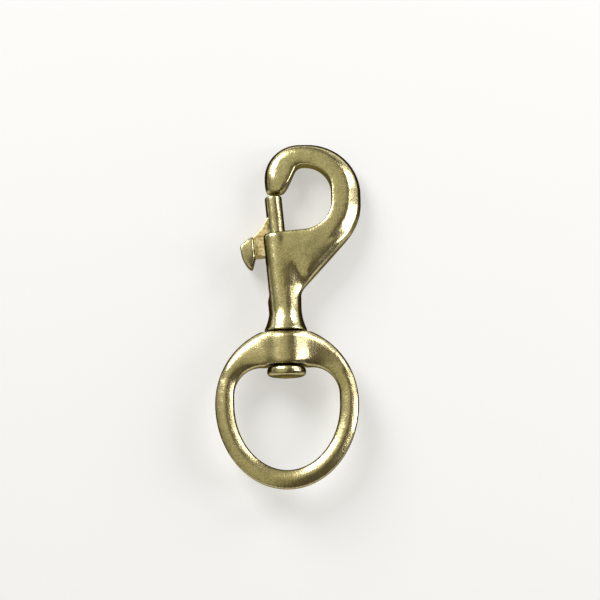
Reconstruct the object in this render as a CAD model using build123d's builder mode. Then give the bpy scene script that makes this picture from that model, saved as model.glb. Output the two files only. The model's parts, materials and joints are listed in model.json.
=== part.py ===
"""A brass bolt snap with a swivel eye, lying on its back as it comes to rest.

The snap is drawn in its own frame: X across, Y along the swivel axis towards the hook, Z out of its face.
Y is zero at the shoulder that bears on the eye. Lengths are millimetres, and angles are degrees or, where
that is said, radians.
"""

import os
from math import atan2, cos, radians, sin

from build123d import *

os.makedirs("parts", exist_ok=True)

# Hook and web, one plate with a crowned face
HOOK_RISE = 22.75  # barrel's rim to the top of the hook
HOOK_REACH = 19.35  # swivel axis to the hook's far side
HOOK_DROP_SHARE = 0.855  # of the hook's width, from its top to where the web's back edge would meet the far side
NOSE_REACH = 4.75  # swivel axis to the outside of the nose
TOP_BAR = 5.3  # width of the hook at its top
SIDE_BAR = 7.4  # width of the hook at its far side
NOSE_INSIDE = 2.8  # bore axis to the inner heel of the nose
NOSE_SLANT = 3.5  # how far the nose's inner edge runs in over the opening
HOOK_BACK_RADIUS = 13.5
SILL_RADIUS = 7.4
WEB_FOOT_HEIGHT = 10.1  # where the web's back edge would meet the neck
WEB_FOOT_RADIUS = 4.5
WEB_END_HEIGHT = 5.6  # the web ends inside the neck
WEB_SET_IN = 0.15  # and that far inside its surface
CROWN_BELOW_RIM = 4.65  # barrel's rim to where the plate is thickest
FACE_CROWN = 3.85  # half thickness there
FACE_TOP = 2.75  # half thickness at the top of the hook
FACE_END = 2.45  # half thickness where the web ends
OUTER_ROUND = 2.25
INNER_ROUND = 0.7
HOOK_TOP_ROUND_SHARES = (0.365, 0.54)  # of the hook's width, at the nose and at the far side
OPENING_ROUND_SHARES = (0.26, 0.78)  # of the opening's top width, at the nose and at the far side

# Barrel, neck, shoulder and swivel shank
BORE_LEAN = 4.9  # the bore leans over towards the thumb side
BORE_FOOT = 2.85  # the bore's blind end, on the swivel axis
BARREL_RADIUS = 3.95
BARREL_LENGTH = 22.1  # blind end of the bore to the barrel's rim
BARREL_RIM_ROUND = 0.9
NECK_RADIUS = 4.0
NECK_TOP = 14.0
NECK_CROWN = 9.6
NECK_FOOT = 6.2
SHOULDER_RADIUS = 5.35
SHOULDER_RIM = 0.45
SHANK_RADIUS = 2.8
HEAD_RADIUS = 4.9
HEAD_HEIGHT = 2.5
HEAD_ROUND = 1.0
HEAD_DISH = 0.35  # depth of the peened hollow
HEAD_DISH_RADIUS = 3.4
DISH_MIDDLE_SHARE = 0.75  # of the hollow's depth, left half way out

# Bolt
BOLT_RADIUS = 2.15
BOLT_CLEARANCE = 0.1
BOLT_TOP_ROUND = 0.6
BOLT_BELOW_WEB = 2.2  # the rod ends this far below the thumb web
BOLT_TRAVEL = 9.3
GATE_OPENING = 10.0  # barrel's rim to the nose
GATE_GAP = 0.35  # closed bolt to nose
THUMB_WEB = 2.6  # thickness
THUMB_WEB_FOOT = 16.4  # lower edge of the web, from the bore's blind end
THUMB_WEB_ROOT = 26.2  # where the web's upper edge leaves the rod
THUMB_WEB_OUT = 6.0  # where the web meets the pad, from the bore's axis
THUMB_RAMP_SAG = 0.45  # hollow of the web's upper edge
PAD_RAMP_TOP = 21.9
PAD_LEAF_TOP = 24.0  # where the pad's leaf outline would end above the ramp
PAD_LEAF_FOOT = 12.0  # and below the tip
PAD_CORNER_OUT = 9.4
PAD_CORNER_HEIGHT = 19.5
PAD_TIP_OUT = 7.0
PAD_TIP_HEIGHT = 13.4
PAD_BELLY = 0.75  # how far the pad's outer face bulges
PAD_WIDTH = 6.8
PAD_ROUND = 0.4
SLOT_CLEARANCE = 0.35

# Spring
SPRING_WIRE = 0.5
SPRING_TURNS = 7
SPRING_CLEARANCE = 0.15

# Swivel eye
SWIVEL_CLEARANCE = 0.1
SWIVEL_GAP = 0.3
SEAT_CLEARANCE = 0.35  # round the head
BOSS_LENGTH = 8.1
BOSS_HALF_WIDTH = 6.3
BOSS_HALF_DEPTH = 5.6
BOSS_ROUND = 1.6  # at the shoulder
BOSS_FOOT_ROUND = 0.8  # at the head
EYE_HALF_WIDTH = 17.7
EYE_BAR = 4.7
EYE_DEPTH = 4.8
EYE_ROUND = 1.95
EYE_LENGTH = 38.9  # shoulder to the bottom of the ring
EYE_WAIST = 17.9  # shoulder to the ring's widest line
EYE_CROWN_PAST = 1.0  # how far the ring's outline would rise past the shoulder
EYE_SHOULDER_ROUND_SHARE = 0.768  # of the straight inner side's height
EYE_SILL = 0.4  # the ring's inner top edge is this far below the boss
ARM_END = 11.5  # swivel axis to where the arms are as thin as the ring
ARM_ROOT = 4.6  # swivel axis to where they meet the boss's flank
ARM_RISE = 1.5  # how far their faces have risen there
ARM_CROWN = 2.5  # and how far they would rise on the swivel axis

OVERRUN = 2.0  # cuts run past what they cut by this much
SQUARE_SHARE = 0.01  # of a unit normal, below which a face is square to the snap's face
LEVEL_SHARE = 0.5  # of a unit tangent, below which an edge runs along the snap's face

# The snap lies on its back on two places: the eye's boss and the top of the hook
REST_BOSS = SWIVEL_GAP + BOSS_ROUND
REST_HOOK = BORE_FOOT + BARREL_LENGTH + HOOK_RISE - OUTER_ROUND
REST_PITCH = atan2(BOSS_HALF_DEPTH - FACE_TOP, REST_HOOK + REST_BOSS)  # radians

# The snap's own frame, pitched as it rests
face = Plane(origin=(0, 0, 0), x_dir=(1, 0, 0), z_dir=(0, sin(REST_PITCH), cos(REST_PITCH)))
side = Plane(origin=face.origin, x_dir=face.y_dir, z_dir=face.x_dir)
across = Plane(origin=face.origin, x_dir=face.x_dir, z_dir=face.y_dir)
swivel_axis = Axis(face.origin, face.y_dir)

# The bolt's frame: X towards the thumb, Y along the bore away from its blind end
LEAN = radians(BORE_LEAN)  # radians
thumb_way = face.x_dir * -cos(LEAN) + face.y_dir * -sin(LEAN)
bore_way = face.x_dir * -sin(LEAN) + face.y_dir * cos(LEAN)
bore_foot = face.from_local_coords(Vector(0, BORE_FOOT, 0))
bolt_face = Plane(origin=bore_foot, x_dir=thumb_way, z_dir=thumb_way.cross(bore_way))
bore = Plane(origin=bore_foot, x_dir=thumb_way, z_dir=bore_way)
thumb_side = Plane(origin=bore_foot, x_dir=bore_way, z_dir=thumb_way)
bore_axis = Axis(bore_foot, bore_way)


def in_snap(out, up):
    """A place in the bolt's frame, as X and Y of the snap's own frame."""
    return (-out * cos(LEAN) - up * sin(LEAN), BORE_FOOT - out * sin(LEAN) + up * cos(LEAN))


def out_at(across_snap, up):
    """How far out towards the thumb a place at this X of the snap lies, at this height in the bolt's frame."""
    return -(across_snap + up * sin(LEAN)) / cos(LEAN)


def is_wall(wall):
    """Whether a face stands square to the snap's face."""
    return abs(wall.normal_at().dot(face.z_dir)) < SQUARE_SHARE


def is_outside_wall(wall):
    """Whether a wall is on the plate's outside: not on the bore's axis, the gate or the web's end."""
    place = face.to_local_coords(wall.center())
    up = (place.Y - BORE_FOOT) * cos(LEAN)
    past_axis = out_at(place.X, up) < -BOLT_CLEARANCE and place.Y > WEB_END_HEIGHT + WEB_SET_IN
    return is_wall(wall) and (past_axis or place.X < WEB_SET_IN - NOSE_REACH)


def is_past_nose(wall):
    """Whether a wall of the opening lies past the inner heel of the nose, seen from the thumb."""
    return bolt_face.to_local_coords(wall.center()).X < -NOSE_INSIDE


def rim_edges(walls):
    """The walls' edges that run along the snap's front and back."""
    return walls.edges().filter_by(lambda edge: abs((edge % 0.5).dot(face.z_dir)) < LEVEL_SHARE)


hook_height = BORE_FOOT + BARREL_LENGTH + HOOK_RISE
crown_height = BORE_FOOT + BARREL_LENGTH - CROWN_BELOW_RIM
hook_width = HOOK_REACH + NOSE_REACH
hook_drop = HOOK_DROP_SHARE * hook_width
bore_radius = BOLT_RADIUS + BOLT_CLEARANCE
gate_height = BARREL_LENGTH + GATE_OPENING
gate_middle = BARREL_LENGTH + GATE_OPENING / 2
bolt_top = gate_height - GATE_GAP
bolt_foot = THUMB_WEB_FOOT - BOLT_BELOW_WEB
slot_width = THUMB_WEB + 2 * SLOT_CLEARANCE
slot_foot = THUMB_WEB_FOOT - BOLT_TRAVEL - slot_width / 2
web_foot_x = NECK_RADIUS - WEB_SET_IN
web_end_up = (WEB_END_HEIGHT - BORE_FOOT) / cos(LEAN)
opening_right = HOOK_REACH - SIDE_BAR
opening_top = hook_height - TOP_BAR
nose_heel = in_snap(-NOSE_INSIDE, gate_height)
nose_crook = (nose_heel[0] + NOSE_SLANT, opening_top)
opening_width = opening_right - nose_crook[0]
boss_foot = -SWIVEL_GAP - BOSS_LENGTH
head_top = boss_foot - SWIVEL_GAP
head_foot = head_top - HEAD_HEIGHT
eye_crown = EYE_WAIST + EYE_CROWN_PAST
eye_drop = EYE_LENGTH - EYE_WAIST
eye_top = boss_foot - EYE_SILL
eye_shoulder_radius = EYE_SHOULDER_ROUND_SHARE * (EYE_WAIST + eye_top)
eye_inside = EYE_HALF_WIDTH - EYE_BAR
slot_top = BARREL_LENGTH + slot_width
web_into_pad = THUMB_WEB_OUT + PAD_ROUND
spring_radius = bore_radius - SPRING_CLEARANCE - SPRING_WIRE / 2
spring_height = bolt_foot - 2 * SPRING_WIRE

with BuildPart() as hook_body:
    # The plate's outline, with the hook's opening still filled in
    with BuildSketch(face):
        with BuildLine():
            FilletPolyline(
                in_snap(0, gate_middle),
                (-NOSE_REACH, in_snap(0, gate_middle)[1]),
                (-NOSE_REACH, hook_height),
                (HOOK_REACH, hook_height),
                (HOOK_REACH, hook_height - hook_drop),
                (web_foot_x, WEB_FOOT_HEIGHT),
                (web_foot_x, WEB_END_HEIGHT),
                in_snap(0, web_end_up),
                radius=(
                    0,
                    0,
                    HOOK_TOP_ROUND_SHARES[0] * hook_width,
                    HOOK_TOP_ROUND_SHARES[1] * hook_width,
                    HOOK_BACK_RADIUS,
                    WEB_FOOT_RADIUS,
                    0,
                    0,
                ),
                close=True,
            )
        make_face()
    extrude(amount=FACE_CROWN, both=True)

    # Its crowned faces, thickest at the barrel
    with BuildSketch(side):
        with BuildLine():
            slope = Line((hook_height, FACE_TOP), (crown_height, FACE_CROWN))
            crown = TangentArc(slope @ 1, (WEB_END_HEIGHT, FACE_END), tangent=slope % 1)
            Line(crown @ 1, (WEB_END_HEIGHT, 0))
            Line((WEB_END_HEIGHT, 0), (hook_height, 0))
            Line((hook_height, 0), slope @ 0)
        make_face()
        mirror(about=Plane.XZ)
    extrude(amount=hook_width, both=True, mode=Mode.INTERSECT)

    # Its outside is rounded all the way from the nose to the neck
    outside = hook_body.faces().filter_by(is_outside_wall)
    fillet(rim_edges(outside), radius=OUTER_ROUND)

    # The opening, from the barrel's rim to the nose
    with BuildSketch(face):
        with BuildLine():
            FilletPolyline(
                in_snap(NOSE_REACH, BARREL_LENGTH),
                in_snap(out_at(opening_right, BARREL_LENGTH), BARREL_LENGTH),
                (opening_right, opening_top),
                nose_crook,
                nose_heel,
                in_snap(NOSE_REACH, gate_height),
                radius=(
                    0,
                    SILL_RADIUS,
                    OPENING_ROUND_SHARES[1] * opening_width,
                    OPENING_ROUND_SHARES[0] * opening_width,
                    0,
                    0,
                ),
                close=True,
            )
        make_face()
    extrude(amount=FACE_CROWN + OVERRUN, both=True, mode=Mode.SUBTRACT)
    inside = hook_body.faces(Select.LAST).filter_by(is_wall).filter_by(is_past_nose)
    fillet(rim_edges(inside), radius=INNER_ROUND)

    # The barrel
    with BuildSketch(bolt_face):
        with BuildLine():
            FilletPolyline(
                (0, 0),
                (BARREL_RADIUS, 0),
                (BARREL_RADIUS, BARREL_LENGTH),
                (0, BARREL_LENGTH),
                radius=(0, 0, BARREL_RIM_ROUND, 0),
                close=True,
            )
        make_face()
    revolve(axis=bore_axis)

    # Neck, shoulder, shank and peened head
    with BuildSketch(face):
        with BuildLine():
            Line((0, NECK_TOP), (0, head_foot + HEAD_DISH))
            dish = ThreePointArc(
                (0, head_foot + HEAD_DISH),
                (HEAD_DISH_RADIUS / 2, head_foot + HEAD_DISH * DISH_MIDDLE_SHARE),
                (HEAD_DISH_RADIUS, head_foot),
            )
            shoulder = FilletPolyline(
                dish @ 1,
                (HEAD_RADIUS, head_foot),
                (HEAD_RADIUS, head_top),
                (SHANK_RADIUS, head_top),
                (SHANK_RADIUS, 0),
                (SHOULDER_RADIUS, 0),
                (SHOULDER_RADIUS, SHOULDER_RIM),
                radius=(HEAD_ROUND, HEAD_ROUND, 0, 0, 0),
            )
            flare = TangentArc((NECK_RADIUS, NECK_FOOT), shoulder @ 1, tangent=(0, -1))
            Line((NECK_RADIUS, NECK_FOOT), (NECK_RADIUS, NECK_CROWN))
            dome = TangentArc((NECK_RADIUS, NECK_CROWN), (BOLT_RADIUS, NECK_TOP), tangent=(0, 1))
            Line(dome @ 1, (0, NECK_TOP))
        make_face()
    revolve(axis=swivel_axis)

    # The blind bore, and the slot that lets the thumb web travel
    with BuildSketch(bore):
        Circle(bore_radius)
    extrude(amount=BARREL_LENGTH + GATE_GAP, mode=Mode.SUBTRACT)
    with BuildSketch(thumb_side):
        with Locations(((slot_foot + slot_top) / 2, 0)):
            SlotOverall(slot_top - slot_foot, slot_width)
    extrude(amount=BARREL_RADIUS + OVERRUN, mode=Mode.SUBTRACT)
hook_body.part.label = "hook_body"

# The thumb pad: a leaf that bulges outwards, with a chisel edge at its foot, drawn at the origin
with BuildPart() as thumb_pad:
    with BuildSketch(Plane.XY):
        with BuildLine():
            ramp = Line((THUMB_WEB_OUT, PAD_RAMP_TOP), (PAD_CORNER_OUT, PAD_CORNER_HEIGHT))
            belly = SagittaArc(ramp @ 1, (PAD_TIP_OUT, PAD_TIP_HEIGHT), PAD_BELLY)
            back = Line(belly @ 1, (THUMB_WEB_OUT, THUMB_WEB_FOOT))
            Line(back @ 1, ramp @ 0)
        make_face()
    extrude(amount=PAD_WIDTH / 2, both=True)
    with BuildSketch(Plane.YZ):
        with Locations(((PAD_LEAF_TOP + PAD_LEAF_FOOT) / 2, 0)):
            Ellipse((PAD_LEAF_TOP - PAD_LEAF_FOOT) / 2, PAD_WIDTH / 2)
    extrude(amount=PAD_CORNER_OUT + OVERRUN, mode=Mode.INTERSECT)
    fillet(thumb_pad.edges(), radius=PAD_ROUND)

with BuildPart() as bolt:
    with BuildSketch(bolt_face):
        with BuildLine():
            FilletPolyline(
                (0, bolt_foot),
                (BOLT_RADIUS, bolt_foot),
                (BOLT_RADIUS, bolt_top),
                (0, bolt_top),
                radius=(0, BOLT_TOP_ROUND, BOLT_TOP_ROUND, 0),
                close=True,
            )
        make_face()
    revolve(axis=bore_axis)
    # The web, which runs out through the slot to the pad
    with BuildSketch(bolt_face):
        with BuildLine():
            root = Line((0, THUMB_WEB_FOOT), (0, THUMB_WEB_ROOT))
            shelf = Line(root @ 1, (BOLT_RADIUS, THUMB_WEB_ROOT))
            hollow = SagittaArc(shelf @ 1, (web_into_pad, PAD_RAMP_TOP - PAD_ROUND), -THUMB_RAMP_SAG)
            out = Line(hollow @ 1, (web_into_pad, THUMB_WEB_FOOT))
            Line(out @ 1, root @ 0)
        make_face()
    extrude(amount=THUMB_WEB / 2, both=True)
    add(bolt_face.location * thumb_pad.part)
bolt.part.label = "bolt"

with BuildPart() as bolt_spring:
    with BuildLine():
        coil = Helix(
            pitch=spring_height / SPRING_TURNS,
            height=spring_height,
            radius=spring_radius,
            center=bore_foot + bore_way * SPRING_WIRE,
            direction=bore_way,
        )
    with BuildSketch(Plane(origin=coil @ 0, z_dir=coil % 0)):
        Circle(SPRING_WIRE / 2)
    sweep(path=coil, is_frenet=True)
bolt_spring.part.label = "bolt_spring"

# The eye's boss, a drum a little wider than it is deep
with BuildPart() as eye_boss:
    with BuildSketch(across.offset(boss_foot)):
        Ellipse(BOSS_HALF_WIDTH, BOSS_HALF_DEPTH)
    extrude(amount=BOSS_LENGTH)
    fillet(eye_boss.faces().sort_by(swivel_axis)[0].edges(), radius=BOSS_FOOT_ROUND)
    fillet(eye_boss.faces().sort_by(swivel_axis)[-1].edges(), radius=BOSS_ROUND)

# The eye's depth: even round the ring, and thickening along the arms towards the boss
with BuildPart() as eye_depth:
    with BuildSketch(across.offset(-EYE_WAIST)):
        Rectangle(2 * EYE_HALF_WIDTH + OVERRUN, EYE_DEPTH)
    extrude(amount=-eye_drop - OVERRUN)
    with BuildSketch(across.offset(-EYE_WAIST)):
        with BuildLine():
            flat = Line((EYE_HALF_WIDTH + OVERRUN / 2, EYE_DEPTH / 2), (ARM_END, EYE_DEPTH / 2))
            sweep_up = TangentArc(flat @ 1, (ARM_ROOT, EYE_DEPTH / 2 + ARM_RISE), tangent=flat % 1)
            crown = TangentArc(sweep_up @ 1, (0, EYE_DEPTH / 2 + ARM_CROWN), tangent=sweep_up % 1)
            middle = Line(crown @ 1, (0, 0))
            Line(middle @ 1, (EYE_HALF_WIDTH + OVERRUN / 2, 0))
            Line((EYE_HALF_WIDTH + OVERRUN / 2, 0), flat @ 0)
        make_face()
        mirror(about=Plane.XZ)
        mirror(about=Plane.YZ)
    extrude(amount=eye_crown + OVERRUN)

with BuildPart() as swivel_eye:
    # The ring, its upper outline still running over the boss
    with BuildSketch(face):
        with BuildLine():
            EllipticalCenterArc((0, -EYE_WAIST), EYE_HALF_WIDTH, eye_crown, 0, arc_size=180)
            EllipticalCenterArc((0, -EYE_WAIST), EYE_HALF_WIDTH, eye_drop, 180, arc_size=180)
        make_face()
        with BuildLine():
            EllipticalCenterArc((0, -EYE_WAIST), eye_inside, eye_drop - EYE_BAR, 180, arc_size=180)
            FilletPolyline(
                (eye_inside, -EYE_WAIST),
                (eye_inside, eye_top),
                (-eye_inside, eye_top),
                (-eye_inside, -EYE_WAIST),
                radius=eye_shoulder_radius,
            )
        make_face(mode=Mode.SUBTRACT)
    extrude(amount=BOSS_HALF_DEPTH, both=True)
    add(eye_depth.part, mode=Mode.INTERSECT)
    fillet(rim_edges(swivel_eye.faces().filter_by(is_wall)), radius=EYE_ROUND)
    # The ring is cut off level with the boss
    with BuildSketch(across.offset(-SWIVEL_GAP)):
        Rectangle(2 * EYE_HALF_WIDTH, 2 * BOSS_HALF_DEPTH)
    extrude(amount=eye_crown, mode=Mode.SUBTRACT)
    # The boss, the hole for the shank and the flat seat for its head
    add(eye_boss.part)
    with BuildSketch(across.offset(boss_foot - OVERRUN)):
        Circle(SHANK_RADIUS + SWIVEL_CLEARANCE)
    extrude(amount=BOSS_LENGTH + 2 * OVERRUN, mode=Mode.SUBTRACT)
    with BuildSketch(across.offset(boss_foot)):
        Circle(HEAD_RADIUS + SEAT_CLEARANCE)
    extrude(amount=-EYE_SILL - OVERRUN, mode=Mode.SUBTRACT)
swivel_eye.part.label = "swivel_eye"

# All pieces are shifted together, so that the origin is on the surface, under the middle of the snap
pieces = (hook_body.part, bolt.part, bolt_spring.part, swivel_eye.part)
box = Compound(pieces).bounding_box()
to_rest = Location((-box.center().X, -box.center().Y, -box.min.Z))
for piece in pieces:
    piece.move(to_rest)

export_step(hook_body.part, "parts/hook_body.step")
export_step(bolt.part, "parts/bolt.step")
export_step(bolt_spring.part, "parts/bolt_spring.step")
export_step(swivel_eye.part, "parts/swivel_eye.step")
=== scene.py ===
# %% [markdown]
# # A brass bolt snap with a swivel eye
#
# The real thing is four pieces: a cast hook with a barrel in it, a bolt that slides in that barrel,
# a spring behind the bolt, and a cast eye that turns on the hook's shank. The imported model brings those
# four as plain solids. This lesson gives each of them the soft edges and the finish of polished cast brass.

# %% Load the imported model
import json
import math

import bpy
import numpy as np
from mathutils import Matrix, Vector
from mathutils.kdtree import KDTree

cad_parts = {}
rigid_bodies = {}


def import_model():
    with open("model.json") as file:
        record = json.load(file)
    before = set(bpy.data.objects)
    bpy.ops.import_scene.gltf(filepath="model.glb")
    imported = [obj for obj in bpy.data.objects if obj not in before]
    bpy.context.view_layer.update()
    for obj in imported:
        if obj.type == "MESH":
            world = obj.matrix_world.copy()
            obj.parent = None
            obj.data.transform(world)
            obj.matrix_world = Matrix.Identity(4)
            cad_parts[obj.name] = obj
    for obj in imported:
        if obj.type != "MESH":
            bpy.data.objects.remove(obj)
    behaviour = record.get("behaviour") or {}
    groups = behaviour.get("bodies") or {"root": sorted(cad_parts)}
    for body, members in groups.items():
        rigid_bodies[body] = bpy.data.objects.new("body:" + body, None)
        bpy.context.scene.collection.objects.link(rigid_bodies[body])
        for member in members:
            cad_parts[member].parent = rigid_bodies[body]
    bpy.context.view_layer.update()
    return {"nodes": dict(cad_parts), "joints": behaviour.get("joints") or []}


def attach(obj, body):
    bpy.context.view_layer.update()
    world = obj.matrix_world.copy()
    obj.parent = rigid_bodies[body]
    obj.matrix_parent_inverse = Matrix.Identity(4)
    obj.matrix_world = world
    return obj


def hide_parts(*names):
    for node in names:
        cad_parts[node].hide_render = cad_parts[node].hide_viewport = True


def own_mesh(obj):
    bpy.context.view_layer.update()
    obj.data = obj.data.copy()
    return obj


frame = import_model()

joints = {joint["name"]: joint for joint in frame["joints"]}
print("nodes:", sorted(frame["nodes"]), "joints:", sorted(joints))

# %% [markdown]
# The snap lies on its back and pitches a few degrees, because its boss is thicker than its hook. Shaping is
# easier in the snap's own frame, whose Y runs along the swivel towards the hook and whose Z comes out of the
# face. The swivel joint already says where that frame is, and the bolt's joint says which way the bore leans.

# %% The snap's own frame, in millimetres
MM = 0.001
BORE_FOOT = 2.85  # the bore's blind end, from the shoulder

swivel_way = np.array(joints["eye_swivel"]["axis"], float)
swivel_place = np.array(joints["eye_swivel"]["pos_m"], float)
across_way = np.array((1.0, 0.0, 0.0))
face_way = np.cross(across_way, swivel_way)
snap_axes = np.stack((across_way, swivel_way, face_way))
bore_way = -np.array(joints["bolt_slide"]["axis"], float)
bore_foot = swivel_place + swivel_way * BORE_FOOT * MM
bolt_axes = np.stack((np.cross(face_way, bore_way), bore_way, face_way))


def in_snap(points):
    """Points of the model, as millimetres in the snap's own frame."""
    return (points - swivel_place) @ snap_axes.T / MM


def in_bolt(points):
    """Points of the model, as millimetres out towards the thumb, up the bore and out of the face."""
    return (points - bore_foot) @ bolt_axes.T / MM


def from_snap(point):
    """A point of the snap's own frame in millimetres, as a place in the model."""
    return Vector(swivel_place + np.array(point) @ snap_axes * MM)


print("swivel at", swivel_place.round(5), "bore along", bore_way.round(4))

# %% [markdown]
# ## Camera
#
# The picture is taken almost straight down with a long lens, from a little towards the eye, so that the lower
# sides of the shoulder, of the head and of the hook's top can be seen. The camera's distance follows from how
# wide the view has to be at the snap.

# %% Camera
CAMERA_TILT = math.radians(7.0)
CAMERA_ROLL = math.radians(-1.05)
CAMERA_LENS = 100.0
CAMERA_SENSOR = 36.0
CAMERA_NEAR = 0.01
VIEW_WIDTH = 0.1493
VIEW_MIDDLE = from_snap((3.63, 7.99, 0.0))

bpy.ops.object.select_all(action="DESELECT")
bpy.ops.object.camera_add()
camera = bpy.context.object
camera.name = "camera"
camera.data.lens = CAMERA_LENS
camera.data.sensor_width = CAMERA_SENSOR
camera.data.clip_start = CAMERA_NEAR
camera_turn = Matrix.Rotation(CAMERA_TILT, 3, "X") @ Matrix.Rotation(CAMERA_ROLL, 3, "Z")
camera.location = VIEW_MIDDLE + camera_turn.col[2] * (VIEW_WIDTH * CAMERA_LENS / CAMERA_SENSOR)
camera.rotation_euler = camera_turn.to_euler()
bpy.context.scene.camera = camera
print("camera stands", round(camera.location.length, 3), "m from the snap")

# %% [markdown]
# ## Floor and light
#
# Every finish in this lesson is a tree of nodes, and the same few nodes come again and again. So they get
# short helpers first: a number or a link for a socket, a sum of two values, a noise, a change of range, a
# mix and a row of colours.


# %% Node helpers
def feed(tree, socket, value):
    """Sets a socket to a number, or links it to another socket."""
    if isinstance(value, (int, float)):
        socket.default_value = value
    else:
        tree.links.new(value, socket)


def maths(tree, operation, first, second, clamp=False):
    """Two values, each a socket or a number, put together by a Math node."""
    node = tree.nodes.new("ShaderNodeMath")
    node.operation = operation
    node.use_clamp = clamp
    feed(tree, node.inputs[0], first)
    feed(tree, node.inputs[1], second)
    return node.outputs["Value"]


def noise(tree, place, scale, detail):
    """A cloud of values, at a scale that is a socket or a number."""
    node = tree.nodes.new("ShaderNodeTexNoise")
    node.inputs["Detail"].default_value = detail
    tree.links.new(place, node.inputs["Vector"])
    feed(tree, node.inputs["Scale"], scale)
    return node.outputs["Fac"]


def spread(tree, value, before, after=(0.0, 1.0)):
    """A value brought from one range to another."""
    node = tree.nodes.new("ShaderNodeMapRange")
    node.inputs["From Min"].default_value, node.inputs["From Max"].default_value = before
    node.inputs["To Min"].default_value, node.inputs["To Max"].default_value = after
    tree.links.new(value, node.inputs["Value"])
    return node.outputs["Result"]


def mixed(tree, factor, first, second, kind="RGBA", blend="MIX"):
    """Two colours or two values, mixed by a factor."""
    node = tree.nodes.new("ShaderNodeMix")
    node.data_type = kind
    node.blend_type = blend
    feed(tree, node.inputs["Factor"], factor)
    feed(tree, node.inputs["A"], first)
    feed(tree, node.inputs["B"], second)
    return node.outputs["Result"]


# %% Colours and materials
NEW_STOP = 0.5  # where a stop begins before it is moved to its place


def shades(tree, value, stops):
    """A colour that follows a value along these stops."""
    tone = tree.nodes.new("ShaderNodeValToRGB")
    while len(tone.color_ramp.elements) < len(stops):
        tone.color_ramp.elements.new(NEW_STOP)
    for element, (place, colour) in zip(tone.color_ramp.elements, stops):
        element.position = place
        element.color = (*colour, 1)
    tree.links.new(value, tone.inputs["Fac"])
    return tone.outputs["Color"]


def new_finish(title):
    """A new material, with its tree of nodes and its shader."""
    finish = bpy.data.materials.new(title)
    finish.use_nodes = True
    return finish, finish.node_tree, finish.node_tree.nodes["Principled BSDF"]


def object_place(tree):
    """The place of each point on its own piece."""
    return tree.nodes.new("ShaderNodeTexCoord").outputs["Object"]


# %% [markdown]
# The floor is plain, pale and matt. Lamps alone would have to be very strong to make it white, and then they
# would bleach the brass. So part of its white is its own glow, which only the camera and mirrored rays see.
# The rest is lit by the lamps, and there the snap's soft shadow stays.

# %% Floor
FLOOR_SIZE = 6.0
FLOOR_SIDES = 96
FLOOR_GLOW = 0.42
FLOOR_ROUGHNESS = 0.9
FLOOR_SHINE = 0.1
FLOOR_CLOUDS = 9.0  # scale of the faint clouds in its paint
FLOOR_DETAIL = 2.0
FLOOR_TONES = ((0.0, (0.585, 0.585, 0.605)), (1.0, (0.605, 0.605, 0.625)))
GLOW_COLOUR = (1.0, 1.0, 1.0, 1.0)

bpy.ops.object.select_all(action="DESELECT")
bpy.ops.mesh.primitive_circle_add(
    vertices=FLOOR_SIDES, radius=FLOOR_SIZE / 2, fill_type="NGON", location=(0, 0, 0)
)
floor = bpy.context.object
floor.name = "floor"
floor_paint, tree, shader = new_finish("pale_floor")
shader.inputs["Roughness"].default_value = FLOOR_ROUGHNESS
shader.inputs["Specular IOR Level"].default_value = FLOOR_SHINE
shader.inputs["Emission Color"].default_value = GLOW_COLOUR
clouds = noise(tree, object_place(tree), FLOOR_CLOUDS, FLOOR_DETAIL)
tree.links.new(shades(tree, clouds, FLOOR_TONES), shader.inputs["Base Color"])
ray = tree.nodes.new("ShaderNodeLightPath").outputs
seen = maths(tree, "ADD", ray["Is Camera Ray"], ray["Is Glossy Ray"])
seen = maths(tree, "ADD", seen, ray["Is Transmission Ray"], clamp=True)
tree.links.new(maths(tree, "MULTIPLY", seen, FLOOR_GLOW), shader.inputs["Emission Strength"])
floor.data.materials.append(floor_paint)
print("floor is", FLOOR_SIZE, "m across")

# %% [markdown]
# Polished metal has hardly a colour of its own: it shows the room. So the room's tones matter more than the
# lamps' strength. Here the room is a warm pale grey on the left and overhead and drops to a dark brown on the
# right, so a face that leans to the right turns dark. It is also darker near the ground.

# %% Room
ROOM_SIDES = (
    (0.0, (0.34, 0.33, 0.237)),
    (0.30, (0.46, 0.45, 0.315)),
    (0.51, (0.41, 0.40, 0.283)),
    (0.57, (0.12, 0.098, 0.063)),
    (0.70, (0.08, 0.065, 0.042)),
    (0.88, (0.12, 0.11, 0.08)),
    (1.0, (0.05, 0.047, 0.035)),
)
ROOM_ACROSS = (0.95, -0.31, 0.0)  # the way in which the room goes from pale to dark
ROOM_HEIGHTS = ((0.0, (0.15, 0.15, 0.15)), (0.25, (0.35, 0.35, 0.35)), (0.55, (1.0, 1.0, 1.0)))

room = bpy.data.worlds.new("studio")
bpy.context.scene.world = room
room.use_nodes = True
tree = room.node_tree
room_way = tree.nodes.new("ShaderNodeTexCoord").outputs["Generated"]
room_across = tree.nodes.new("ShaderNodeVectorMath")
room_across.operation = "DOT_PRODUCT"
room_across.inputs[1].default_value = ROOM_ACROSS
room_split = tree.nodes.new("ShaderNodeSeparateXYZ")
tree.links.new(room_way, room_across.inputs[0])
tree.links.new(room_way, room_split.inputs["Vector"])
side_tone = shades(tree, spread(tree, room_across.outputs["Value"], (-1.0, 1.0)), ROOM_SIDES)
height_tone = shades(tree, room_split.outputs["Z"], ROOM_HEIGHTS)
room_tone = mixed(tree, 1.0, side_tone, height_tone, blend="MULTIPLY")
tree.links.new(room_tone, tree.nodes["Background"].inputs["Color"])
bpy.context.scene.view_settings.view_transform = "Standard"
print("room has", len(ROOM_SIDES), "tones from left to right")

# %% [markdown]
# One large soft box stands at the upper left. Two smaller ones stand on the right with a gap between them, so
# that the highlight which runs down the hook's far side is broken, as two windows would break it.


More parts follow.
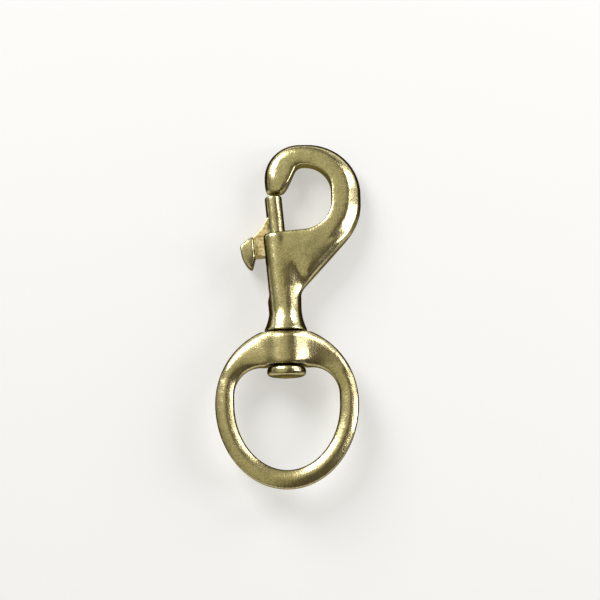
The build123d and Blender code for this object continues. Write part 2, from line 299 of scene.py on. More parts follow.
# %% Lamps
def soft_box(name, way, distance, width, height, brightness):
    """A flat lamp that faces the snap. Its power follows from how bright its face looks."""
    bpy.ops.object.select_all(action="DESELECT")
    direction = Vector(way).normalized()
    bpy.ops.object.light_add(type="AREA", location=direction * distance)
    lamp = bpy.context.object
    lamp.name = name
    lamp.rotation_euler = direction.to_track_quat("Z", "Y").to_euler()
    lamp.data.shape = "RECTANGLE"
    lamp.data.size = width
    lamp.data.size_y = height
    lamp.data.energy = brightness * math.pi * width * height
    print(name, "gives", round(lamp.data.energy, 3), "W")


soft_box("key_box", way=(-0.52, 0.66, 0.545), distance=0.9, width=0.46, height=0.54, brightness=7.5)
soft_box("upper_side_box", way=(0.73, 0.55, 0.41), distance=0.8, width=0.30, height=0.42, brightness=5.2)
soft_box("side_box", way=(0.91, 0.0, 0.41), distance=0.8, width=0.27, height=0.46, brightness=5.6)

# %% [markdown]
# ## Castings
#
# A casting has no sharp inner corners: metal flows, and polishing rounds every edge that it reaches. Bevels
# would need every edge to be chosen, and they can't round a joint between two flowing forms. So each solid is
# copied, its loose triangles are merged, a voxel remesh gives it an even skin, and smoothing melts the joints
# between its parts. The copy then stands for the solid.

# %% Copying a solid
MERGE_DISTANCE = 2e-6  # metres


def only(piece):
    """Selects one object alone and makes it active."""
    bpy.ops.object.select_all(action="DESELECT")
    piece.select_set(True)
    bpy.context.view_layer.objects.active = piece


def even_out(piece, voxel):
    """Gives the piece an even skin of small squares."""
    only(piece)
    skin = piece.modifiers.new("skin", "REMESH")
    skin.mode = "VOXEL"
    skin.voxel_size = voxel * MM
    skin.use_smooth_shade = True
    bpy.ops.object.modifier_apply(modifier=skin.name)
    print(piece.name, "has", len(piece.data.polygons), "squares")


def skin_of(node, name, voxel):
    """A copy of a solid with an even skin of small squares."""
    only(frame["nodes"][node])
    bpy.ops.object.duplicate()
    piece = bpy.context.object
    bpy.ops.object.parent_clear(type="CLEAR")
    for key in list(piece.keys()):
        del piece[key]
    piece.name = name
    piece.data.name = name
    piece.data.materials.clear()
    bpy.ops.object.mode_set(mode="EDIT")
    bpy.ops.mesh.select_all(action="SELECT")
    bpy.ops.mesh.remove_doubles(threshold=MERGE_DISTANCE)
    bpy.ops.object.mode_set(mode="OBJECT")
    even_out(piece, voxel)
    return piece


# %% [markdown]
# Where a skin is shaped, and how much, is decided point by point from two things: where the point lies on the
# snap and which way it faces. These helpers measure both, and turn a measure into a weight from 0 to 1.


# %% Measuring a skin
def points_of(piece):
    """The piece's points, as an array."""
    points = np.empty(len(piece.data.vertices) * 3)
    piece.data.vertices.foreach_get("co", points)
    return points.reshape(-1, 3)


def normals_of(piece):
    """The way that each point of the piece faces, in the snap's own frame."""
    normals = np.empty(len(piece.data.vertices) * 3)
    piece.data.vertex_normals.foreach_get("vector", normals)
    return normals.reshape(-1, 3) @ snap_axes.T


def ramp(values, low, high):
    """0 at low, 1 at high, smooth between."""
    share = np.clip((values - low) / (high - low), 0, 1)
    return share * share * (3 - 2 * share)


def flat_on(piece, low, high):
    """1 where the skin faces the snap's front or back, 0 on its sides."""
    return ramp(np.abs(normals_of(piece)[:, 2]), low, high)


def away_from(piece, middle, low, high):
    """0 where the skin faces this place in the opening, 1 where it doesn't."""
    to_middle = np.array(middle) - in_snap(points_of(piece))[:, :2]
    inward = (normals_of(piece)[:, :2] * to_middle).sum(1) / np.linalg.norm(to_middle, axis=1)
    return 1 - ramp(inward, low, high)


# %% [markdown]
# Melting is Blender's Smooth modifier, held back by a vertex group. Smoothing in every direction shrinks a
# form, so most melts move points in depth alone: the face gets softer while the outline, seen from the front,
# stays where the solid has it.

# %% Melting a skin
WEIGHT_STEPS = 100
MELT_FACTOR = 0.5


def weigh(piece, title, weights):
    """A vertex group that holds the weights in hundredths."""
    group = piece.vertex_groups.new(name=title)
    steps = np.round(np.clip(weights, 0, 1) * WEIGHT_STEPS).astype(int)
    for step in range(1, WEIGHT_STEPS + 1):
        chosen = np.flatnonzero(steps == step).tolist()
        if chosen:
            group.add(chosen, step / WEIGHT_STEPS, "REPLACE")
    return group.name


def melt(piece, title, weights, times, deep_only=False):
    """Smooths the piece where the weights say so, in every direction or in its depth alone."""
    only(piece)
    smooth = piece.modifiers.new(title, "SMOOTH")
    smooth.factor = MELT_FACTOR
    smooth.iterations = times
    smooth.use_x = smooth.use_y = not deep_only
    smooth.vertex_group = weigh(piece, title, weights)
    bpy.ops.object.modifier_apply(modifier=smooth.name)
    piece.vertex_groups.clear()
    print(piece.name, "melted at", title)


# %% [markdown]
# ## Hook
#
# The hook's bar is rounded much more on its outer side than towards the opening: seen in section, its face
# falls in one broad slope to the outside and then turns down. A bevel has one width all round, so each point
# of the skin is brought down to that section instead, by how far in from the outline it lies.

# %% Bringing a skin down to a section
FLANK_TURN = (0.0, 0.5)  # how far the skin faces the front, from a flank to a face
FLANK_MOST = 0.7


def bring_down(piece, limits, share):
    """Brings the skin down to these heights above its middle plane, in front and behind, by a share."""
    points = in_snap(points_of(piece))
    high = np.abs(points[:, 2])
    drop = share * np.maximum(high - limits, 0)
    points[:, 2] = np.copysign(high - drop, points[:, 2])
    piece.data.vertices.foreach_set("co", (points * MM @ snap_axes + swivel_place).ravel())
    piece.data.update()
    print(piece.name, "brought down by up to", round(float(drop.max()), 2), "mm")


def flanks(piece):
    """True on the piece's flanks, which make its outline."""
    return flat_on(piece, *FLANK_TURN) < FLANK_MOST


def in_from(piece, edge, wanted, most):
    """How far in from an edge each wanted point lies, seen from the front."""
    across, height = in_snap(points_of(piece))[:, :2].T
    tree = KDTree(int(edge.sum()))
    for number in np.flatnonzero(edge):
        tree.insert((across[number], height[number], 0.0), number)
    tree.balance()
    inside = np.full(len(across), most)
    for number in np.flatnonzero(wanted):
        inside[number] = tree.find((across[number], height[number], 0.0))[2]
    return inside


# %% Section of the hook's bar
BAR_IN = (0.0, 0.35, 0.8, 3.3)  # in from the outline
SIDE_HEIGHT = (0.4, 1.2, 1.85, 3.5)  # of the face above the middle plane, at the bar's widest
TOP_HEIGHT = (0.9, 1.7, 2.35, 3.5)  # the same at the hook's top and nose
OPENING = (6.0, 34.0)  # about the middle of the hook's opening
OUTWARD = (0.0, 0.3)  # how far a flank faces the opening, from an outer one to an inner one
OUTWARD_LEAST = 0.9
BAR_TOP = (26.5, 28.0)  # heights where the section begins, at the top
BAR_SIDE = (21.0, 27.0)  # and on the far side
BAR_OUT = (6.0, 9.0)  # from the swivel's axis to where the far side begins
BAR_WIDENS = (5.0, 13.0)  # from the swivel's axis, where the top's section turns into the side's
EDGE_HEIGHT = 27.0  # the outline counts above this height
EDGE_OUT = 6.0  # and this far out


def round_bar(piece):
    """Brings the hook's bar down to its section on its outer side."""
    across, height = in_snap(points_of(piece))[:, :2].T
    bow = np.maximum(ramp(height, *BAR_TOP), ramp(height, *BAR_SIDE) * ramp(across, *BAR_OUT))
    outside = flanks(piece) & (away_from(piece, OPENING, *OUTWARD) > OUTWARD_LEAST)
    edge = outside & ((height > EDGE_HEIGHT) | (across > EDGE_OUT))
    inside = in_from(piece, edge, bow > 0, BAR_IN[-1])
    wide = np.interp(inside, BAR_IN, SIDE_HEIGHT)
    narrow = np.interp(inside, BAR_IN, TOP_HEIGHT)
    limits = narrow + (wide - narrow) * ramp(across, *BAR_WIDENS)
    bring_down(piece, limits, bow * (inside < BAR_IN[-1]))


# %% [markdown]
# The plate between hook and barrel thins towards its lower tip, so that the barrel's round side stands out
# there with a valley beside it. The same way of bringing points down makes it: the skin keeps whichever is
# higher, the barrel's falling side or the plate's rise.

# %% Valley beside the barrel
VALLEY_TOP = (2.1, 15.5)  # upper end of the line where barrel and plate meet
VALLEY_WAY = (0.615, 0.789)  # from that line up the plate
VALLEY_HEIGHT = 2.5
PLATE_RISE = 1.3  # from the valley to the plate's full thickness
PLATE_RAMP = (-0.4, 1.8)  # up the plate, where it rises
BARREL_CREST = 3.75
BARREL_FALL = 0.48  # down the barrel's side, for each millimetre across
CREST_HEIGHTS = (8.0, 13.0, 17.0)
CREST_ACROSS = (1.1, 1.2, 1.35)  # where the barrel's crest runs at those heights
VALLEY_FOOT = (8.0, 10.5)


def cut_valley(piece):
    """Thins the plate's lower tip and lets the barrel's side fall away beside it."""
    across, height = in_snap(points_of(piece))[:, :2].T
    crest = np.interp(height, CREST_HEIGHTS, CREST_ACROSS)
    barrel = BARREL_CREST - BARREL_FALL * np.maximum(across - crest, 0)
    up_plate = (across - VALLEY_TOP[0]) * VALLEY_WAY[0] + (height - VALLEY_TOP[1]) * VALLEY_WAY[1]
    plate = VALLEY_HEIGHT + PLATE_RISE * ramp(up_plate, *PLATE_RAMP)
    bring_down(piece, np.maximum(barrel, plate), ramp(height, *VALLEY_FOOT) * (across > crest))


# %% [markdown]
# The hook's skin takes both shapes. Points that move far leave stretched squares behind, so the skin is evened
# out once more, and then a light polish goes over all of it.

# %% Hook's skin
CASTING_VOXEL = 0.2
POLISH_ROUNDS = 5


def polish(piece):
    """Takes the sharpness off every edge of the piece."""
    melt(piece, "polish", np.ones(len(piece.data.vertices)), POLISH_ROUNDS)


hook = skin_of("hook_body", "hook_casting", CASTING_VOXEL)
round_bar(hook)
cut_valley(hook)
even_out(hook, CASTING_VOXEL)
polish(hook)

# %% [markdown]
# The hook then melts in five places: round its bow, at its nose, where the plate flows into the barrel, in the
# valley and at the peened head. The nose and the head are round in every direction, so they melt in every
# direction. The bore must stay round for the bolt, so its skin is left out.

# %% Bow and nose
BOW_FROM = (23.0, 27.0)  # heights where the bow begins
BOW_TURN = (0.2, 0.7)
BOW_ROUNDS = 130
NOSE_FROM = (28.0, 30.0)  # up the bore's line
NOSE_MIDDLE = 31.0
NOSE_REACH = (2.5, 5.5)
NOSE_ROUNDS = 330

across, height = in_snap(points_of(hook))[:, :2].T
bow = ramp(height, *BOW_FROM) * away_from(hook, OPENING, *BOW_TURN)
melt(hook, "bow", bow, BOW_ROUNDS, deep_only=True)
out, up = in_bolt(points_of(hook))[:, :2].T
nose = ramp(up, *NOSE_FROM) * (1 - ramp(np.hypot(out, up - NOSE_MIDDLE), *NOSE_REACH))
melt(hook, "nose", nose, NOSE_ROUNDS)

# %% Web, valley and head
BORE_SKIN = (2.7, 3.3)  # from the bore's axis, clear of its skin
WEB_SIDE = (-1.5, 2.5)  # from the bore's axis towards the plate
WEB_FOOT = (5.0, 10.0)
WEB_HEAD = (19.0, 23.0)
WEB_TURN = (0.4, 0.8)
WEB_ROUNDS = 250
VALLEY_MIDDLE = (4.0, 14.0)
VALLEY_REACH = (3.5, 6.5)
VALLEY_ROUNDS = 95
HEAD_FROM = (-9.4, -8.6)
HEAD_ROUNDS = 50

out, _, front = in_bolt(points_of(hook)).T
round_bore = ramp(np.hypot(out, front), *BORE_SKIN)
web = round_bore * ramp(-out, *WEB_SIDE) * ramp(height, *WEB_FOOT) * (1 - ramp(height, *WEB_HEAD))
melt(hook, "web", web * flat_on(hook, *WEB_TURN), WEB_ROUNDS, deep_only=True)
from_valley = np.hypot(across - VALLEY_MIDDLE[0], height - VALLEY_MIDDLE[1])
melt(hook, "valley", round_bore * (1 - ramp(from_valley, *VALLEY_REACH)), VALLEY_ROUNDS, deep_only=True)
melt(hook, "head", 1 - ramp(height, *HEAD_FROM), HEAD_ROUNDS)

# %% [markdown]
# ## Swivel eye
#
# At the boss the ring thickens into two arms, and the casting flows from these into the boss, so the hollow
# between them melts. The ring itself has a faint crest: its face falls away to both sides of a line that runs
# round the middle of the bar. That line is what splits the light on it into a pale and a dark side.

# %% Swivel eye
ARM_OUT = (2.0, 4.5)  # from the swivel's axis to where an arm begins
ARM_END = (11.0, 15.0)
ARM_FOOT = (-12.0, -9.5)
ARM_TURN = (0.3, 0.6)
ARM_ROUNDS = 250
RING_FROM = (-12.0, -9.0)
RING_IN = (0.0, 0.5, 1.0, 1.6, 2.35)  # in from the ring's nearest edge
RING_HEIGHT = (1.3, 1.6, 1.86, 2.08, 2.27)  # of the face above the middle plane
RING_ROUNDS = 25

eye = skin_of("swivel_eye", "eye_casting", CASTING_VOXEL)
polish(eye)
across, height = in_snap(points_of(eye))[:, :2].T
sideways = np.abs(across)
arms = ramp(sideways, *ARM_OUT) * (1 - ramp(sideways, *ARM_END)) * ramp(height, *ARM_FOOT)
melt(eye, "arms", arms * flat_on(eye, *ARM_TURN), ARM_ROUNDS)
ring = 1 - ramp(height, *RING_FROM)
inside = in_from(eye, flanks(eye) & (ring > 0), ring > 0, RING_IN[-1])
bring_down(eye, np.interp(inside, RING_IN, RING_HEIGHT), ring)
melt(eye, "ring", ring, RING_ROUNDS, deep_only=True)

# %% [markdown]
# ## Sliding bolt
#
# The bolt is a small casting: a round rod, a thin web that comes out through the barrel's slot, and a thumb
# pad. It runs in the bore, so the rod keeps its size and only the pad is melted further. Its skin is finer
# than the others', because the web is thin.

# %% Sliding bolt
BOLT_VOXEL = 0.14
PAD_FROM = (5.6, 6.4)  # out from the bore's axis
PAD_ROUNDS = 30

bolt = skin_of("bolt", "sliding_bolt", BOLT_VOXEL)
polish(bolt)
melt(bolt, "pad", ramp(in_bolt(points_of(bolt))[:, 0], *PAD_FROM), PAD_ROUNDS)

# %% [markdown]
# ## Spring
#
# A steel spring behind the bolt keeps the hook shut. It is wound from round wire, and its last turn at each
# end lies close against the next, so that it stands square. A circle of the wire's size is turned into a coil
# by a Screw modifier, and then each section of the coil is moved along to where its turn belongs.

# %% Winding the spring
SPRING_WIRE = 0.5
SPRING_RADIUS = 1.85  # bore's axis to the middle of the wire
SPRING_LENGTH = 14.1  # bore's foot to just below the bolt
SPRING_TURNS = 9
SPRING_STEPS = 24  # sections in a turn
WIRE_SIDES = 10

bpy.ops.object.select_all(action="DESELECT")
bpy.ops.mesh.primitive_circle_add(
    vertices=WIRE_SIDES,
    radius=SPRING_WIRE / 2 * MM,
    location=(SPRING_RADIUS * MM, 0, 0),
    rotation=(math.pi / 2, 0, 0),
)
spring = bpy.context.object
spring.name = "return_spring"
bpy.ops.object.transform_apply(location=True, rotation=True, scale=True)
winding = spring.modifiers.new("winding", "SCREW")
winding.axis = "Z"
winding.angle = 2 * math.pi
winding.screw_offset = SPRING_LENGTH / SPRING_TURNS * MM
winding.iterations = SPRING_TURNS
winding.steps = winding.render_steps = SPRING_STEPS
winding.use_merge_vertices = False
bpy.ops.object.modifier_apply(modifier=winding.name)
print("spring has", len(spring.data.vertices) // WIRE_SIDES, "sections")

# %% Closing its ends and putting it in the bore
CLOSE_TURN = 1.04  # a close turn, in wire thicknesses
WIRE_CREASE = math.radians(50)  # a sharper edge than this, at the wire's ends, stays sharp

wire = points_of(spring)
turn = np.arange(len(wire)) // WIRE_SIDES / SPRING_STEPS
close = SPRING_WIRE * CLOSE_TURN
low_end, high_end = SPRING_WIRE / 2, SPRING_LENGTH - SPRING_WIRE / 2
rise = np.interp(
    turn,
    (0, 1, SPRING_TURNS - 1, SPRING_TURNS),
    (low_end, low_end + close, high_end - close, high_end),
)
wire[:, 2] += (rise - turn * SPRING_LENGTH / SPRING_TURNS) * MM
spring.data.vertices.foreach_set("co", wire.ravel())
spring_axes = Matrix((bolt_axes[0], bolt_axes[2], bolt_axes[1])).transposed().to_4x4()
spring.matrix_world = Matrix.Translation(bore_foot) @ spring_axes
only(spring)
bpy.ops.object.transform_apply(location=True, rotation=True, scale=True)
bpy.ops.object.mode_set(mode="EDIT")
bpy.ops.mesh.select_all(action="SELECT")
bpy.ops.mesh.fill_holes(sides=WIRE_SIDES)
bpy.ops.mesh.normals_make_consistent(inside=False)
bpy.ops.object.mode_set(mode="OBJECT")
bpy.ops.object.shade_smooth_by_angle(angle=WIRE_CREASE)
print("spring has", len(spring.data.polygons), "faces and", round(turn.max(), 2), "turns")

# %% [markdown]
# ## Finish
#
# Cast brass is polished on a wheel. The wheel reaches the faces and the ridges, and it reaches the hollows
# less, so those stay browner and duller, partly from tarnish and partly as painted shade. The flanks are
# darkened and dulled as painted shade, so that the outline turns dark. A picture of that could be painted by
# hand, but it
# can be measured: each skin carries two notes at each of its points, how hollow it is and how far it turns to
# the side. The materials read these notes.


# %% Notes on a skin
def hollows(piece, rounds):
    """How hollow, above 0, or ridged, below 0, the skin is, in 1/mm, evened out over its neighbours."""
    mesh = piece.data
    ends = np.empty(len(mesh.edges) * 2, dtype=np.int32)
    mesh.edges.foreach_get("vertices", ends)
    first, second = ends.reshape(-1, 2).T
    size = len(mesh.vertices)
    count = np.bincount(ends, minlength=size)

    def around(values):
        return (np.bincount(first, values[second], size) + np.bincount(second, values[first], size)) / count

    at, normals = in_snap(points_of(piece)), normals_of(piece)
    offset = sum((around(at[:, k]) - at[:, k]) * normals[:, k] for k in range(3))
    length = ((at[first] - at[second]) ** 2).sum(1)
    spacing = (np.bincount(first, length, size) + np.bincount(second, length, size)) / count
    bend = 2 * offset / spacing
    for _ in range(rounds):
        bend = around(bend)
    return bend


def note(piece, title, values):
    """Keeps one number at each point of the piece."""
    layer = piece.data.attributes.new(title, "FLOAT", "POINT")
    layer.data.foreach_set("value", values.astype(np.float32))
    print(piece.name, title, "mean", round(float(values.mean()), 3), "most", round(float(values.max()), 3))


# %% [markdown]
# A patch in the middle of the hook's plate is noted as hollow too, so it is browner and duller. The flank note
# is painted shade for the dark outline: a flank that faces straight to the side is darkened less than one that
# is just turning away, and the flanks towards the eye are darkened least.

# %% Hollows and flanks
HOLLOW_ROUNDS = 12
HOLLOW_RANGE = (0.04, 0.5)
PLATE_PATCH_PLACE = (9.5, 19.5)
PLATE_PATCH_STRETCH = 1.1
PLATE_PATCH_REACH = (1.0, 5.0)
PLATE_PATCH_SHARE = 0.55
# The flank note is painted shade for the dark outline, and these set where it falls.
TURNED_AWAY = (0.58, 0.76)  # how far the skin faces the front, from a flank to a face
SIDEWAYS = (0.0, 0.3)
SIDEWAYS_CLEAN = 0.55
EYEWARD = (-0.75, -0.1)  # how far the skin faces away from the hook, from most to hardly
EYEWARD_LEAST = 0.1

for piece in (hook, eye, bolt):
    across, height = in_snap(points_of(piece))[:, :2].T
    from_plate_patch = np.hypot((across - PLATE_PATCH_PLACE[0]) / PLATE_PATCH_STRETCH, height - PLATE_PATCH_PLACE[1])
    plate_patch = PLATE_PATCH_SHARE * (1 - ramp(from_plate_patch, *PLATE_PATCH_REACH)) * (piece is hook)
    # The hollow note browns the hollows, partly as tarnish and partly as painted shade, and the plate patch
    # too.
    note(piece, "hollow", np.maximum(ramp(hollows(piece, HOLLOW_ROUNDS), *HOLLOW_RANGE), plate_patch))
    side = 1 - SIDEWAYS_CLEAN * (1 - flat_on(piece, *SIDEWAYS))
    upper = EYEWARD_LEAST + (1 - EYEWARD_LEAST) * ramp(normals_of(piece)[:, 1], *EYEWARD)
    # The flank note is painted shade: it darkens the flanks so that the outline turns dark.
    note(piece, "flank", (1 - flat_on(piece, *TURNED_AWAY)) * side * upper)

# %% [markdown]
# The bolt's web is too narrow for the wheel. It is left as it came from the mould, tan and rough, so the bolt
# carries one more note that says where its web is.

# %% The bolt's web
WEB_BEGINS = (2.1, 2.4)  # out from the bore's axis
WEB_ENDS = (5.7, 6.1)
WEB_HALF_DEPTH = (1.4, 1.7)

out, _, front = in_bolt(points_of(bolt)).T
between = ramp(out, *WEB_BEGINS) * (1 - ramp(out, *WEB_ENDS))
note(bolt, "web", between * (1 - ramp(np.abs(front), *WEB_HALF_DEPTH)))

# %% [markdown]
# Two effects are shared by all the brass, so each is a node group. The first is what polishing leaves on a
# casting: fine grain, marks along the way the wheel ran, slow waves from the hand that held it, and clouds.


# %% Polished casting, an effect that all the brass shares
def effect(title, takes, gives):
    """An empty node group with these sockets."""
    group = bpy.data.node_groups.new(title, "ShaderNodeTree")
    for name, kind in takes:
        group.interface.new_socket(name=name, in_out="INPUT", socket_type="NodeSocket" + kind)
    for name, kind in gives:
        group.interface.new_socket(name=name, in_out="OUTPUT", socket_type="NodeSocket" + kind)
    return group, group.nodes.new("NodeGroupInput").outputs, group.nodes.new("NodeGroupOutput").inputs


WHEEL_STRETCH = 0.10  # a wheel mark is ten times as long as it is wide
WAVE_SCALE = 260.0  # hand polishing leaves waves about 4 mm long
GRAIN_DETAIL, MARKS_DETAIL, WAVE_DETAIL, MOTTLE_DETAIL = 2.0, 3.0, 1.0, 5.0
GRAIN_HEIGHT, MARKS_HEIGHT, WAVE_HEIGHT = 0.8, 0.5, 4.0  # against each other

polished, takes, gives = effect(
    "polished_casting",
    (("Place", "Vector"), ("Grain Scale", "Float"), ("Mottle Scale", "Float"), ("Wheel Turn", "Vector")),
    (("Height", "Float"), ("Mottle", "Float"), ("Wheel Marks", "Float"), ("Grain", "Float")),
)
turned = polished.nodes.new("ShaderNodeMapping")
turned.inputs["Scale"].default_value = (1.0, WHEEL_STRETCH, 1.0)
polished.links.new(takes["Place"], turned.inputs["Vector"])
polished.links.new(takes["Wheel Turn"], turned.inputs["Rotation"])
marks = noise(polished, turned.outputs["Vector"], takes["Grain Scale"], MARKS_DETAIL)
grain = noise(polished, takes["Place"], takes["Grain Scale"], GRAIN_DETAIL)
wave = noise(polished, takes["Place"], WAVE_SCALE, WAVE_DETAIL)
mottle = noise(polished, takes["Place"], takes["Mottle Scale"], MOTTLE_DETAIL)
fine = maths(
    polished,
    "ADD",
    maths(polished, "MULTIPLY", grain, GRAIN_HEIGHT),
    maths(polished, "MULTIPLY", marks, MARKS_HEIGHT),
)
bumps = maths(polished, "ADD", fine, maths(polished, "MULTIPLY", wave, WAVE_HEIGHT))
for title, value in (("Height", bumps), ("Mottle", mottle), ("Wheel Marks", marks), ("Grain", grain)):
    polished.links.new(value, gives[title])
print("polished_casting takes", [socket.name for socket in takes if socket.name])

# %% [markdown]
# The second effect is tarnish and painted shade. It darkens the clean metal towards the deep colour by the
# notes
# for hollows and flanks, in patches: on the flanks this is painted shade that turns the outline dark, and in
# the hollows it is partly tarnish and partly painted shade. It also strews small specks of tarnish over
# everything.
# Darkened metal is also duller, but the specks dull it less than they colour it, or else they would blur the
# highlights.

# %% Tarnish and painted shade, an effect that all the brass shares
PATCH_RANGE = (0.38, 0.62)
SPECK_RANGE = (0.42, 0.72)
HOLLOW_EVEN, HOLLOW_PATCHY = 0.35, 0.5  # how much of the note counts everywhere, and how much in patches
# how much of the flanks' painted shade counts everywhere, and how much in patches
FLANK_EVEN, FLANK_PATCHY = 0.92, 0.08
PATCH_BROWN = 0.08
SPECK_BROWN = 0.36
SPECK_DULL = 0.14

tarnish_and_shade, takes, gives = effect(
    "tarnish_and_shade",
    (
        ("Hollow", "Float"),
        ("Flank", "Float"),
        ("Mottle", "Float"),
        ("Grain", "Float"),
        ("Clean", "Color"),
        ("Deep", "Color"),
    ),
    (("Color", "Color"), ("Dullness", "Float")),
)
patches = spread(tarnish_and_shade, takes["Mottle"], PATCH_RANGE)
specks = spread(tarnish_and_shade, takes["Grain"], SPECK_RANGE)


def in_patches(value, even, patchy):
    """A note of the skin, part of it everywhere and part of it in patches."""
    share = maths(tarnish_and_shade, "ADD", maths(tarnish_and_shade, "MULTIPLY", patches, patchy), even)
    return maths(tarnish_and_shade, "MULTIPLY", value, share)


# hollows: partly tarnish, partly painted shade
hollow_part = in_patches(takes["Hollow"], HOLLOW_EVEN, HOLLOW_PATCHY)
# flanks: painted shade, so that the outline turns dark
flank_part = in_patches(takes["Flank"], FLANK_EVEN, FLANK_PATCHY)
shade_and_hollow_tarnish = maths(tarnish_and_shade, "ADD", hollow_part, flank_part)
faint = maths(
    tarnish_and_shade,
    "ADD",
    maths(tarnish_and_shade, "MULTIPLY", patches, PATCH_BROWN),
    maths(tarnish_and_shade, "MULTIPLY", specks, SPECK_BROWN),
)
brown = maths(tarnish_and_shade, "ADD", shade_and_hollow_tarnish, faint, clamp=True)
dull = maths(tarnish_and_shade, "ADD", shade_and_hollow_tarnish, maths(tarnish_and_shade, "MULTIPLY", specks, SPECK_DULL), clamp=True)
tarnish_and_shade.links.new(mixed(tarnish_and_shade, brown, takes["Clean"], takes["Deep"]), gives["Color"])
tarnish_and_shade.links.new(dull, gives["Dullness"])
print("tarnish takes", [socket.name for socket in takes if socket.name])

# %% [markdown]
# One function makes the brass of all three castings from the two effects. They differ a little, because each
# was cast and polished by itself: the eye is browner and more satin than the hook, and the wheel ran another
# way on each. At a grazing angle plain metal nodes turn white; here the reflection is tinted dark where it
# grazes, a painted shade that gives the outline its dark edge.

# %% Brass
PAINTED_EDGE_SHADE = (0.10, 0.08, 0.03, 1)  # painted shade: the dark tint of reflections where they graze, so the outline turns dark
MARKS_DULL = 0.3  # how much the wheel marks dull the metal
BUMP_STRENGTH = 1.0


def place_effect(tree, group):
    """A node that uses an effect."""
    node = tree.nodes.new("ShaderNodeGroup")
    node.node_tree = group
    return node


def noted(tree, title):
    """The number that a skin carries under this title."""
    node = tree.nodes.new("ShaderNodeAttribute")
    node.attribute_name = title
    return node.outputs["Fac"]


def brass(title, clean, deep, grain_scale, mottle_scale, wheel_turn, gloss, dull_gloss, depth):
    """Polished cast brass, clean on faces, darkened on flanks as painted shade, and browner in hollows from
    tarnish and painted shade.
    """
    finish, tree, shader = new_finish(title)
    shader.inputs["Metallic"].default_value = 1.0
    # painted shade: the dark specular tint darkens grazing reflections, so the outline turns dark
    shader.inputs["Specular Tint"].default_value = PAINTED_EDGE_SHADE
    casting, tarnish_and_shade_node = place_effect(tree, polished), place_effect(tree, tarnish_and_shade)
    casting.inputs["Grain Scale"].default_value = grain_scale
    casting.inputs["Mottle Scale"].default_value = mottle_scale
    casting.inputs["Wheel Turn"].default_value = (0, 0, math.radians(wheel_turn))
    tarnish_and_shade_node.inputs["Clean"].default_value = (*clean, 1)
    tarnish_and_shade_node.inputs["Deep"].default_value = (*deep, 1)
    tree.links.new(object_place(tree), casting.inputs["Place"])
    tree.links.new(casting.outputs["Mottle"], tarnish_and_shade_node.inputs["Mottle"])
    tree.links.new(casting.outputs["Grain"], tarnish_and_shade_node.inputs["Grain"])
    tree.links.new(noted(tree, "hollow"), tarnish_and_shade_node.inputs["Hollow"])
    tree.links.new(noted(tree, "flank"), tarnish_and_shade_node.inputs["Flank"])
    tree.links.new(tarnish_and_shade_node.outputs["Color"], shader.inputs["Base Color"])
    scratches = maths(tree, "MULTIPLY", casting.outputs["Wheel Marks"], MARKS_DULL)
    dullness = maths(tree, "ADD", scratches, tarnish_and_shade_node.outputs["Dullness"])
    tree.links.new(spread(tree, dullness, (0.0, 1.0), (gloss, dull_gloss)), shader.inputs["Roughness"])
    bump = tree.nodes.new("ShaderNodeBump")
    bump.inputs["Strength"].default_value = BUMP_STRENGTH
    bump.inputs["Distance"].default_value = depth * MM
    tree.links.new(casting.outputs["Height"], bump.inputs["Height"])
    tree.links.new(bump.outputs["Normal"], shader.inputs["Normal"])
    print(title, "made")
    return finish


# Each deep colour is both the tarnish and the painted shade on flanks and in hollows.
cast_brass = brass(
    "polished_cast_brass",
    clean=(0.89, 0.79, 0.44),
    deep=(0.065, 0.052, 0.022),
    grain_scale=2600.0,
    mottle_scale=260.0,
    wheel_turn=25.0,
    gloss=0.18,
    dull_gloss=0.42,
    depth=0.04,
)
eye_brass = brass(
    "polished_eye_brass",
    clean=(0.80, 0.695, 0.38),
    deep=(0.07, 0.055, 0.023),
    grain_scale=2400.0,
    mottle_scale=300.0,
    wheel_turn=90.0,
    gloss=0.23,
    dull_gloss=0.44,
    depth=0.04,
)
bolt_brass = brass(
    "polished_bolt_brass",
    clean=(0.87, 0.77, 0.44),
    deep=(0.07, 0.055, 0.023),
    grain_scale=3000.0,
    mottle_scale=340.0,
    wheel_turn=-5.0,
    gloss=0.18,
    dull_gloss=0.40,
    depth=0.03,
)

# %% [markdown]
# On the bolt's web the finish stays as cast. A second material with its own faces would give it a hard edge,
# so the raw colour and roughness are mixed into the same material by the web's note instead.

# %% Raw web
RAW_TONES = ((0.35, (0.52, 0.37, 0.15)), (0.5, (0.90, 0.72, 0.34)), (0.62, (1.0, 0.90, 0.58)))
RAW_SCALE = 1500.0
RAW_DETAIL = 5.0
RAW_ROUGHNESS = 0.5


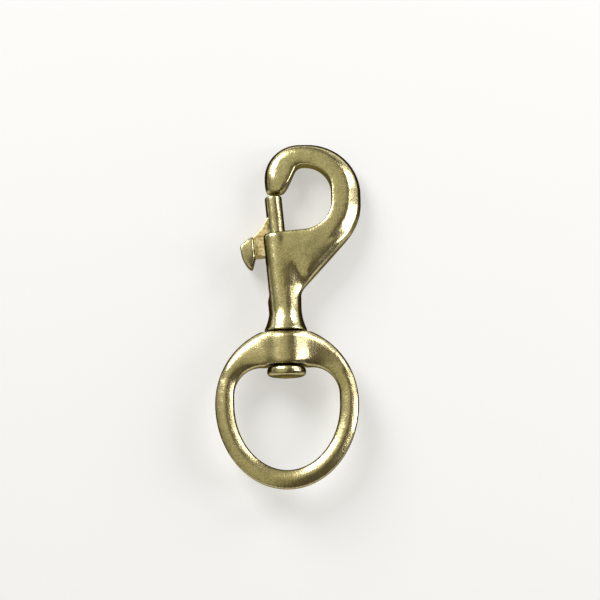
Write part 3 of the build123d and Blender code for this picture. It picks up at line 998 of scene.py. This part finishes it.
def leave_raw(finish, title):
    """Leaves the finish as cast, tan and rough, where the skin is noted under this title."""
    tree = finish.node_tree
    shader = tree.nodes["Principled BSDF"]
    tan = shades(tree, noise(tree, object_place(tree), RAW_SCALE, RAW_DETAIL), RAW_TONES)
    raw = noted(tree, title)
    for socket, as_cast, kind in (("Base Color", tan, "RGBA"), ("Roughness", RAW_ROUGHNESS, "FLOAT")):
        before = shader.inputs[socket].links[0].from_socket
        tree.links.new(mixed(tree, raw, before, as_cast, kind), shader.inputs[socket])
    print(finish.name, "left raw at", title)


leave_raw(bolt_brass, "web")

# %% [markdown]
# The spring is drawn wire: grey, a little uneven in tone, and neither bright nor dull. One fine noise drives
# both its tone and its roughness, since the same scratches make both.

# %% Spring steel
STEEL_TONES = ((0.3, (0.42, 0.42, 0.43)), (0.7, (0.62, 0.62, 0.63)))
STEEL_SCALE = 4000.0
STEEL_DETAIL = 3.0
STEEL_GLOSS = (0.25, 0.45)

spring_steel, tree, shader = new_finish("drawn_spring_steel")
shader.inputs["Metallic"].default_value = 1.0
drawn = noise(tree, object_place(tree), STEEL_SCALE, STEEL_DETAIL)
tree.links.new(shades(tree, drawn, STEEL_TONES), shader.inputs["Base Color"])
tree.links.new(spread(tree, drawn, (0.0, 1.0), STEEL_GLOSS), shader.inputs["Roughness"])
print(spring_steel.name, "made")

# %% [markdown]
# ## Putting the pieces on the moving bodies
#
# Each piece rides on a body of the imported model, stands for its solid, which is hidden, and gets its finish.
# The spring rides with the hook.

for piece, node, body, finish, slot in (
    (hook, "hook_body", "hook", cast_brass, "cast_brass"),
    (eye, "swivel_eye", "eye", eye_brass, "eye_brass"),
    (bolt, "bolt", "bolt", bolt_brass, "bolt_brass"),
    (spring, "bolt_spring", "hook", spring_steel, "spring_steel"),
):
    piece.data.materials.append(finish)
    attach(piece, body)
    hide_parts(node)
    print(piece.name, "rides on", body, "in", finish.name)
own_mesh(spring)

# %% [markdown]
# Last, the scene is brought up to date. Melting only takes metal away at the outside, so the dressed one has
# to fit inside.

# %% Bringing the scene up to date
bpy.context.view_layer.update()
